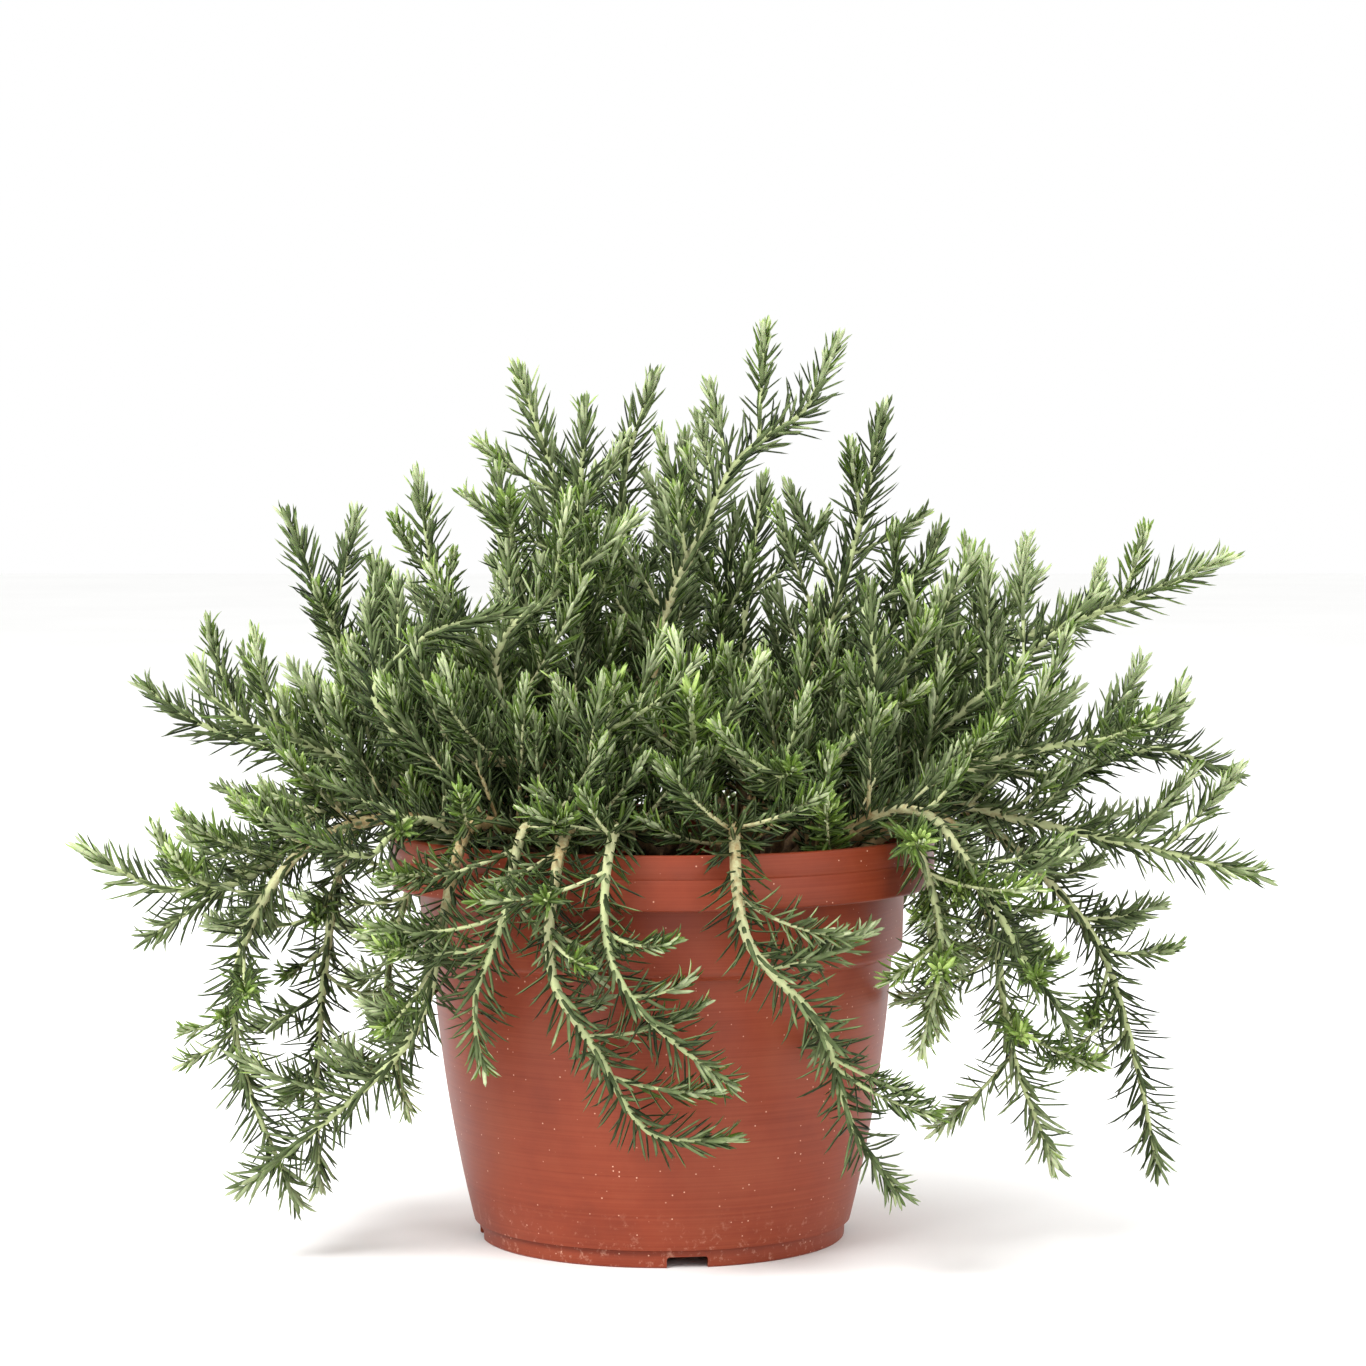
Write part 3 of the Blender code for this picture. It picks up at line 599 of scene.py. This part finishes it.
class ROSEMARY_OT_crowns(bpy.types.Operator):
    """Shape the knotty old wood that the sprigs grow from"""
    bl_idname = "rosemary.crowns"
    bl_label = "Crowns"

    def execute(self, context):
        bark = rosemary_stem()
        for name in CROWN_NODES:
            low, high = (Vector(corner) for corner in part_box(name))
            radius = (high.x - low.x) / 2
            middle = Vector(((low.x + high.x) / 2, (low.y + high.y) / 2, high.z - radius))
            maker = bmesh.new()
            bmesh.ops.create_icosphere(maker, subdivisions=4, radius=radius * CROWN_SWELL)
            for vert in maker.verts:
                knot = noise.fractal(vert.co * KNOTS_PER_METRE + middle * 40.0, 0.7, 2.0, 4)
                vert.co *= 1.0 + KNOT_DEPTH * knot
                vert.co += middle
                vert.co.z = max(vert.co.z, low.z)
            layer = maker.verts.layers.float.new("age")
            for vert in maker.verts:
                vert[layer] = OLD_WOOD_AGE
            crown = add_piece(name + "_wood", maker, bark, [name])
            crown.data.shade_smooth()
        return {"FINISHED"}


# ---------------------------------------------------------------- sprigs

# A needle's cross-section in widths: its grooved green top, its rolled edges, its felted keel.
LEAF_SECTION = [(0.0, 0.10), (0.36, 0.24), (0.5, -0.02), (0.0, -0.20), (-0.5, -0.02), (-0.36, 0.24)]
LEAF_STATIONS = [(0.0, 0.5), (0.3, 1.0), (0.8, 0.84)]       # share of the length, share of the width
LEAF_BENDS = (-0.26, -0.12, 0.0, 0.12, 0.24)                # the tip's rise, in lengths
LEAF_TINTS = (0.04, 0.2, 0.36, 0.52, 0.68, 0.84, 0.98)
LEAF_SPREAD = (44, 62)              # degrees from the stem
LEAF_LIFT = (0.05, 0.30)
WHORL_TURN = math.radians(66)
LEAVES_PER_WHORL = 5
LEAVES_PER_TIP_WHORL = 6
LEAVES_PER_FOOT_WHORL = 2
FOOT_WHORLS = 4
TIP_RUN = 26 * MM                   # the young stretch at a stem's end
TIP_FOLD = 30                       # degrees that the tip's leaves fold up
TIP_SHORTENING = 0.42
STEM_SIDES = 7
STEM_END_RADIUS = 0.62 * MM
STEM_BARE = 0.16                    # share of a stem without leaves
SHOOT_RADIUS = 0.95 * MM
SHOOT_TAPER = 0.55
SHOOT_BARE = 0.08
SHOOT_CROWDING = 0.86               # its whorls' spacing over the main stem's
SHOOT_SPACING = 17 * MM
SHOOT_REACH = (30, 74)              # millimetres
LEAST_SHOOTS = 4
REACH_OUT = 11 * MM                 # how far leaves may stand out of the solids' box
GROUND_AIR = 1.5 * MM
LIP_AIR = 0.5 * MM
WALL_AIR = 0.4 * MM
INSIDE_AIR = 0.6 * MM


def extrude_ring(maker, edges, ring):
    """Extrude a ring of edges; the new vertices come in the order of the old ring's."""
    grown = bmesh.ops.extrude_edge_only(maker, edges=edges)["geom"]
    fresh = {item for item in grown if isinstance(item, bmesh.types.BMVert)}
    edges = [item for item in grown if isinstance(item, bmesh.types.BMEdge)
             and item.verts[0] in fresh and item.verts[1] in fresh]
    verts = [next(edge.other_vert(vert) for edge in vert.link_edges
                  if edge.other_vert(vert) in fresh) for vert in ring]
    return edges, verts


def leaf_template(bend, tint, slenderness):
    """One closed needle of length one along Z with its upper side towards +Y."""
    maker = bmesh.new()
    along = maker.verts.layers.float.new("along")
    groove = maker.verts.layers.float.new("groove")
    under = maker.faces.layers.float.new("underside")
    tone = maker.faces.layers.float.new("tint")
    verts = bmesh.ops.create_circle(maker, segments=len(LEAF_SECTION), radius=1.0)["verts"]
    bmesh.ops.contextual_create(maker, geom=verts)
    edges = list(maker.edges)
    for place, width in LEAF_STATIONS:
        if place > 0:
            edges, verts = extrude_ring(maker, edges, verts)
        for vert, (x, y) in zip(verts, LEAF_SECTION):
            vert.co = Vector((x * width, y * width + bend * place * place, place))
            vert[along] = place
            vert[groove] = 0.0
        verts[0][groove] = 1.0
    _, verts = extrude_ring(maker, edges, verts)
    bmesh.ops.pointmerge(maker, verts=verts, merge_co=Vector((0.0, bend, 1.0)))
    max(maker.verts, key=lambda vert: vert.co.z)[along] = 1.0
    bmesh.ops.recalc_face_normals(maker, faces=maker.faces)
    for face in maker.faces:
        face[tone] = tint
        face[under] = 1.0 if face.normal.y < -0.05 else 0.0
        face.smooth = True
    # The bend so far is a share of the width. It becomes the same share of the length.
    for vert in maker.verts:
        vert.co.y += bend * (slenderness - 1.0) * vert.co.z ** 2
    mesh = bpy.data.meshes.new(f"leaf_{bend}_{tint}")
    maker.to_mesh(mesh)
    maker.free()
    return mesh


def read_route(name, roots):
    """Centre line of a sprig, read back from its CAD solid's rings."""
    maker = bmesh.new()
    maker.from_mesh(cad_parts[name].data)
    bmesh.ops.remove_doubles(maker, verts=maker.verts, dist=0.01 * MM)
    start = min(maker.verts, key=lambda vert: min((vert.co - root).length for root in roots))
    layers = [[start]]
    seen = {start}
    while layers[-1]:
        ahead = []
        for vert in layers[-1]:
            for edge in vert.link_edges:
                other = edge.other_vert(vert)
                if other not in seen:
                    seen.add(other)
                    ahead.append(other)
        layers.append(ahead)
    layers.pop()
    points = [sum((vert.co for vert in layer), Vector()) / len(layer) for layer in layers]
    maker.free()
    return np.array(points)


def fine_path(points, spacing):
    """Evenly spaced points on a smooth curve through the given ones."""
    ends = [2 * points[0] - points[1], *points, 2 * points[-1] - points[-2]]
    dense = []
    for before, start, end, after in zip(ends, ends[1:], ends[2:], ends[3:]):
        for t in np.linspace(0.0, 1.0, 12, endpoint=False):
            dense.append(0.5 * (
                2 * start + (end - before) * t
                + (2 * before - 5 * start + 4 * end - after) * t * t
                + (3 * start - before - 3 * end + after) * t * t * t))
    dense.append(points[-1])
    dense = np.array(dense)
    length = np.concatenate([[0.0], np.cumsum(np.linalg.norm(np.diff(dense, axis=0), axis=1))])
    count = max(4, int(length[-1] / spacing) + 1)
    places = np.linspace(0.0, length[-1], count)
    path = np.stack([np.interp(places, length, dense[:, k]) for k in range(3)], axis=1)
    return [Vector(point) for point in path], float(length[-1])


def path_frames(path):
    """Tangent and two cross directions at each point of a path, without twist."""
    frames = []
    side = None
    for place, point in enumerate(path):
        ahead = path[min(place + 1, len(path) - 1)] - path[max(place - 1, 0)]
        tangent = ahead.normalized()
        if side is None:
            side = tangent.cross(UP)
            if side.length < 0.1:
                side = Vector((1.0, 0.0, 0.0))
        side = (side - tangent * side.dot(tangent)).normalized()
        frames.append((point, tangent, side, tangent.cross(side)))
    return frames


def grow_tube(maker, frames, radii, ages):
    """Extrude a round stem along frames, with its ends closed."""
    age = maker.verts.layers.float["age"]
    turns = [math.tau * k / STEM_SIDES for k in range(STEM_SIDES)]
    verts = bmesh.ops.create_circle(maker, segments=STEM_SIDES, radius=radii[0])["verts"]
    bmesh.ops.contextual_create(maker, geom=verts)
    edges = list(dict.fromkeys(edge for vert in verts for edge in vert.link_edges))
    for place, ((point, _, side, across), radius) in enumerate(zip(frames, radii)):
        if place > 0:
            edges, verts = extrude_ring(maker, edges, verts)
        for vert, turn in zip(verts, turns):
            vert.co = point + radius * (math.cos(turn) * side + math.sin(turn) * across)
            vert[age] = ages[place]
    bmesh.ops.contextual_create(maker, geom=verts)


class Sprig:
    """One sprig while it grows: its needles and stems, and the draws that vary them."""

    def __init__(self, seed, leaf, pot, templates):
        self.draw = random.Random(seed)
        self.leaf = leaf
        self.pot = pot
        self.templates = templates
        self.needles = bmesh.new()
        self.stems = bmesh.new()
        self.stems.verts.layers.float.new("age")

    def hits_pot(self, start, end):
        """Whether a needle would pass through the pot or the ground, or stand too far out."""
        if end.z < GROUND_AIR or any(
                not low - REACH_OUT < value < high + REACH_OUT
                for value, low, high in zip(end, *CAD_BOX)):
            return True
        if min(start.z, end.z) > POT_HIGH.z + LIP_AIR:
            return False
        first = (start - AXIS).to_2d().length
        for share in (0.5, 1.0):
            point = start.lerp(end, share)
            if point.z > POT_HIGH.z:
                continue
            reach = (point - AXIS).to_2d().length
            outer = outside_radius(self.pot, point.z)
            if first > outside_radius(self.pot, start.z) - 2 * MM:
                if reach < outer + WALL_AIR:
                    return True
            elif reach > outer - self.pot.wall - INSIDE_AIR or point.z < SOIL_TOP:
                return True
        return False

    def add_needle(self, origin, tangent, outward, spread, length, width, tint):
        """Set one needle on a stem, bent and tinted like the nearest template."""
        direction = (tangent * math.cos(spread) + outward * math.sin(spread)).normalized()
        lift = self.draw.uniform(*LEAF_LIFT)
        direction = (direction + UP * lift * (1.0 - abs(direction.z))).normalized()
        top = tangent - direction * tangent.dot(direction)
        if top.length < 0.05:
            top = UP - direction * UP.dot(direction)
        top.normalize()
        across = top.cross(direction)
        end = origin + direction * length
        if self.hits_pot(origin, end):
            return
        wish = self.draw.gauss(0.0, 0.09) + 0.16 * top.dot(UP)
        bend = min(range(len(LEAF_BENDS)), key=lambda k: abs(LEAF_BENDS[k] - wish))
        tone = tint + self.draw.gauss(0.0, 0.13)
        shade = min(range(len(LEAF_TINTS)), key=lambda k: abs(LEAF_TINTS[k] - tone))
        matrix = Matrix((
            (across.x * width, top.x * width, direction.x * length, origin.x),
            (across.y * width, top.y * width, direction.y * length, origin.y),
            (across.z * width, top.z * width, direction.z * length, origin.z),
            (0.0, 0.0, 0.0, 1.0),
        ))
        mesh = self.templates[bend][shade].copy()
        mesh.transform(matrix)
        self.needles.from_mesh(mesh)
        bpy.data.meshes.remove(mesh)

    def clothe(self, frames, vigour, bare, tint, spacing):
        """Set whorls of needles along a stem from its bare foot to its bunched tip."""
        count = len(frames)
        draw = self.draw
        twist = draw.uniform(0, math.tau)
        for place in range(int(bare * count), count):
            point, tangent, side, across = frames[place]
            to_tip = (count - 1 - place) * spacing
            young = max(0.0, 1.0 - to_tip / TIP_RUN)
            spread = math.radians(draw.uniform(*LEAF_SPREAD) - TIP_FOLD * young)
            size = self.leaf.leaf_length * vigour * (1.0 - TIP_SHORTENING * young)
            per_whorl = LEAVES_PER_WHORL if young < 0.3 else LEAVES_PER_TIP_WHORL
            if place - bare * count < FOOT_WHORLS:
                per_whorl = LEAVES_PER_FOOT_WHORL
            twist += WHORL_TURN
            for number in range(per_whorl):
                turn = twist + math.tau * number / per_whorl + draw.gauss(0.0, 0.22)
                outward = math.cos(turn) * side + math.sin(turn) * across
                along = point + tangent * draw.uniform(-0.4, 0.4) * spacing
                self.add_needle(
                    along + outward * 0.5 * MM, tangent, outward,
                    spread * draw.uniform(0.82, 1.15), size * draw.uniform(0.72, 1.12),
                    self.leaf.leaf_width * draw.uniform(0.8, 1.1) * (0.75 + 0.25 * vigour),
                    tint + 0.38 * young)

    def side_shoot(self, frame_at, length, vigour, tint, age):
        """Grow a short shoot from a stem, bowing upwards."""
        point, tangent, side, across = frame_at
        turn = self.draw.uniform(0, math.tau)
        outward = math.cos(turn) * side + math.sin(turn) * across
        if outward.z < -0.3:
            outward = -outward
        start = (tangent * 0.75 + outward).normalized()
        end = (start + UP * self.draw.uniform(0.25, 0.8)).normalized()
        spacing = self.leaf.node_spacing * SHOOT_CROWDING
        steps = max(4, int(length / spacing))
        path = [point.copy()]
        for step in range(steps):
            path.append(path[-1] + start.lerp(end, step / steps).normalized() * spacing)
        if any(self.hits_pot(point, spot) for spot in path[1:]):
            return
        frames = path_frames(path)
        radii = [(1.0 - SHOOT_TAPER * k / steps) * SHOOT_RADIUS for k in range(len(frames))]
        ages = [age * (1.0 - k / steps) for k in range(len(frames))]
        grow_tube(self.stems, frames, radii, ages)
        self.clothe(frames, vigour, SHOOT_BARE, tint, spacing)

    def grow(self, points):
        """Grow the whole sprig along its centre line."""
        leaf = self.leaf
        draw = self.draw
        # The stem ends short of the solid's end, which its last leaves reach.
        drawn_back = points.copy()
        drawn_back[-1] = points[-2] + (points[-1] - points[-2]) * 0.62
        path, length = fine_path(drawn_back, leaf.node_spacing)
        frames = path_frames(path)
        count = len(frames)
        thick = leaf.stem_radius * (0.62 + 0.38 * min(1.0, length / 0.2))
        radii = []
        ages = []
        for place in range(count):
            share = place / (count - 1)
            knot = 1.0 + 0.10 * (place % 2)
            radii.append((thick * (1 - share) ** 0.8 + STEM_END_RADIUS) * knot)
            ages.append(max(0.0, 0.95 - 1.35 * share + draw.uniform(-0.05, 0.05)))
        grow_tube(self.stems, frames, radii, ages)
        tint = draw.uniform(0.16, 0.5)
        self.clothe(frames, 1.0, STEM_BARE, tint, leaf.node_spacing)
        shoots = max(LEAST_SHOOTS, int(length / SHOOT_SPACING))
        for number in range(shoots):
            share = 0.12 + 0.70 * (number + draw.uniform(0.0, 0.9)) / shoots
            place = int(share * (count - 1))
            reach = draw.uniform(*SHOOT_REACH) * MM * (1.15 - 0.6 * share)
            vigour = draw.uniform(0.7, 0.88)
            self.side_shoot(frames[place], reach, vigour, tint + 0.08, ages[place])


class ROSEMARY_OT_sprigs(bpy.types.Operator):
    """Grow the stem and the needles of every sprig along its solid"""
    bl_idname = "rosemary.sprigs"
    bl_label = "Sprigs"

    def execute(self, context):
        leaf = context.scene.rosemary_leaf
        pot = context.scene.rosemary_pot
        green = living_leaf(leaf)
        bark = bpy.data.materials.get("rosemary_stem_bark") or rosemary_stem()
        slenderness = leaf.leaf_length / leaf.leaf_width
        templates = [
            [leaf_template(bend, tint, slenderness) for tint in LEAF_TINTS] for bend in LEAF_BENDS]
        roots = []
        for name in CROWN_NODES:
            low, high = (Vector(corner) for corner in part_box(name))
            roots.append((low + high) / 2)
        for number, name in enumerate(SPRIG_NODES):
            sprig = Sprig(leaf.seed * 1000 + number, leaf, pot, templates)
            sprig.grow(read_route(name, roots))
            bmesh.ops.recalc_face_normals(sprig.stems, faces=sprig.stems.faces)
            stems = add_piece(name + "_stem", sprig.stems, bark, [name])
            stems.data.shade_smooth()
            add_piece(name + "_needles", sprig.needles, green, [name])
        return {"FINISHED"}


# ---------------------------------------------------------------- stage

FLOOR_SIZE = 8.0
SENSOR_WIDTH = 36.0
CAMERA_ASIDE = 8.8 * MM
LAMP_AIM = Vector((0.0, 0.0, 0.18))
# Name, place from the foot of the pot's axis, side and power.
LAMPS = (
    ("key_light", (-1.3, -1.5, 2.0), 1.2, 74.0),
    ("fill_light", (1.6, -1.4, 1.2), 1.8, 14.0),
    ("top_light", (0.1, 0.7, 2.3), 1.8, 22.0),
)


class ROSEMARY_OT_stage(bpy.types.Operator):
    """Set the pale floor, the soft light and the camera"""
    bl_idname = "rosemary.stage"
    bl_label = "Stage"

    def execute(self, context):
        stage = context.scene.rosemary_stage
        mesh = bpy.data.meshes.new("studio_floor")
        maker = bmesh.new()
        bmesh.ops.create_grid(maker, x_segments=1, y_segments=1, size=FLOOR_SIZE)
        maker.to_mesh(mesh)
        maker.free()
        floor = bpy.data.objects.new("studio_floor", mesh)
        mesh.materials.append(pale_floor(stage.floor))
        context.collection.objects.link(floor)
        world = bpy.data.worlds.new("soft_studio")
        world.use_nodes = True
        sky = world.node_tree.nodes["Background"]
        sky.inputs["Color"].default_value = (1.0, 1.0, 1.0, 1.0)
        sky.inputs["Strength"].default_value = 1.0
        context.scene.world = world
        context.scene.view_settings.view_transform = "Standard"
        for name, place, size, power in LAMPS:
            lamp = bpy.data.lights.new(name, "AREA")
            lamp.size = size
            lamp.energy = power
            light = bpy.data.objects.new(name, lamp)
            light.location = AXIS + Vector(place)
            aim = AXIS + LAMP_AIM - light.location
            light.rotation_euler = aim.to_track_quat("-Z", "Y").to_euler()
            context.collection.objects.link(light)
        lens = bpy.data.cameras.new("camera")
        lens.lens = stage.focal
        lens.sensor_width = SENSOR_WIDTH
        camera = bpy.data.objects.new("camera", lens)
        camera.location = AXIS + Vector((CAMERA_ASIDE, -stage.distance, stage.height))
        camera.rotation_euler = (math.pi / 2 - stage.pitch, 0.0, 0.0)
        context.collection.objects.link(camera)
        context.scene.camera = camera
        return {"FINISHED"}


# ---------------------------------------------------------------- panel and registration

OPERATORS = (
    ROSEMARY_OT_pot, ROSEMARY_OT_soil, ROSEMARY_OT_crowns, ROSEMARY_OT_sprigs, ROSEMARY_OT_stage,
)
SETTINGS = {
    "rosemary_pot": RosemaryPotSettings,
    "rosemary_leaf": RosemaryLeafSettings,
    "rosemary_stage": RosemaryStageSettings,
}


class ROSEMARY_PT_panel(bpy.types.Panel):
    """Lists the steps that build the plant"""
    bl_idname = "ROSEMARY_PT_panel"
    bl_label = "Potted Rosemary"
    bl_space_type = "VIEW_3D"
    bl_region_type = "UI"
    bl_category = "Rosemary"

    def draw(self, context):
        for operator in OPERATORS:
            self.layout.operator(operator.bl_idname)
        for key, group in SETTINGS.items():
            for name in group.__annotations__:
                self.layout.prop(getattr(context.scene, key), name)


def register():
    """Register the classes and hang the settings on the scene."""
    for item in (*SETTINGS.values(), *OPERATORS, ROSEMARY_PT_panel):
        bpy.utils.register_class(item)
    for key, group in SETTINGS.items():
        setattr(bpy.types.Scene, key, PointerProperty(type=group))


def unregister():
    """Take the settings and the classes away again."""
    for key in SETTINGS:
        delattr(bpy.types.Scene, key)
    for item in reversed((*SETTINGS.values(), *OPERATORS, ROSEMARY_PT_panel)):
        bpy.utils.unregister_class(item)


def main():
    """Build every piece in order."""
    register()
    bpy.ops.rosemary.stage()
    bpy.ops.rosemary.pot()
    bpy.ops.rosemary.soil()
    bpy.ops.rosemary.crowns()
    bpy.ops.rosemary.sprigs()


if __name__ == "__main__":
    main()
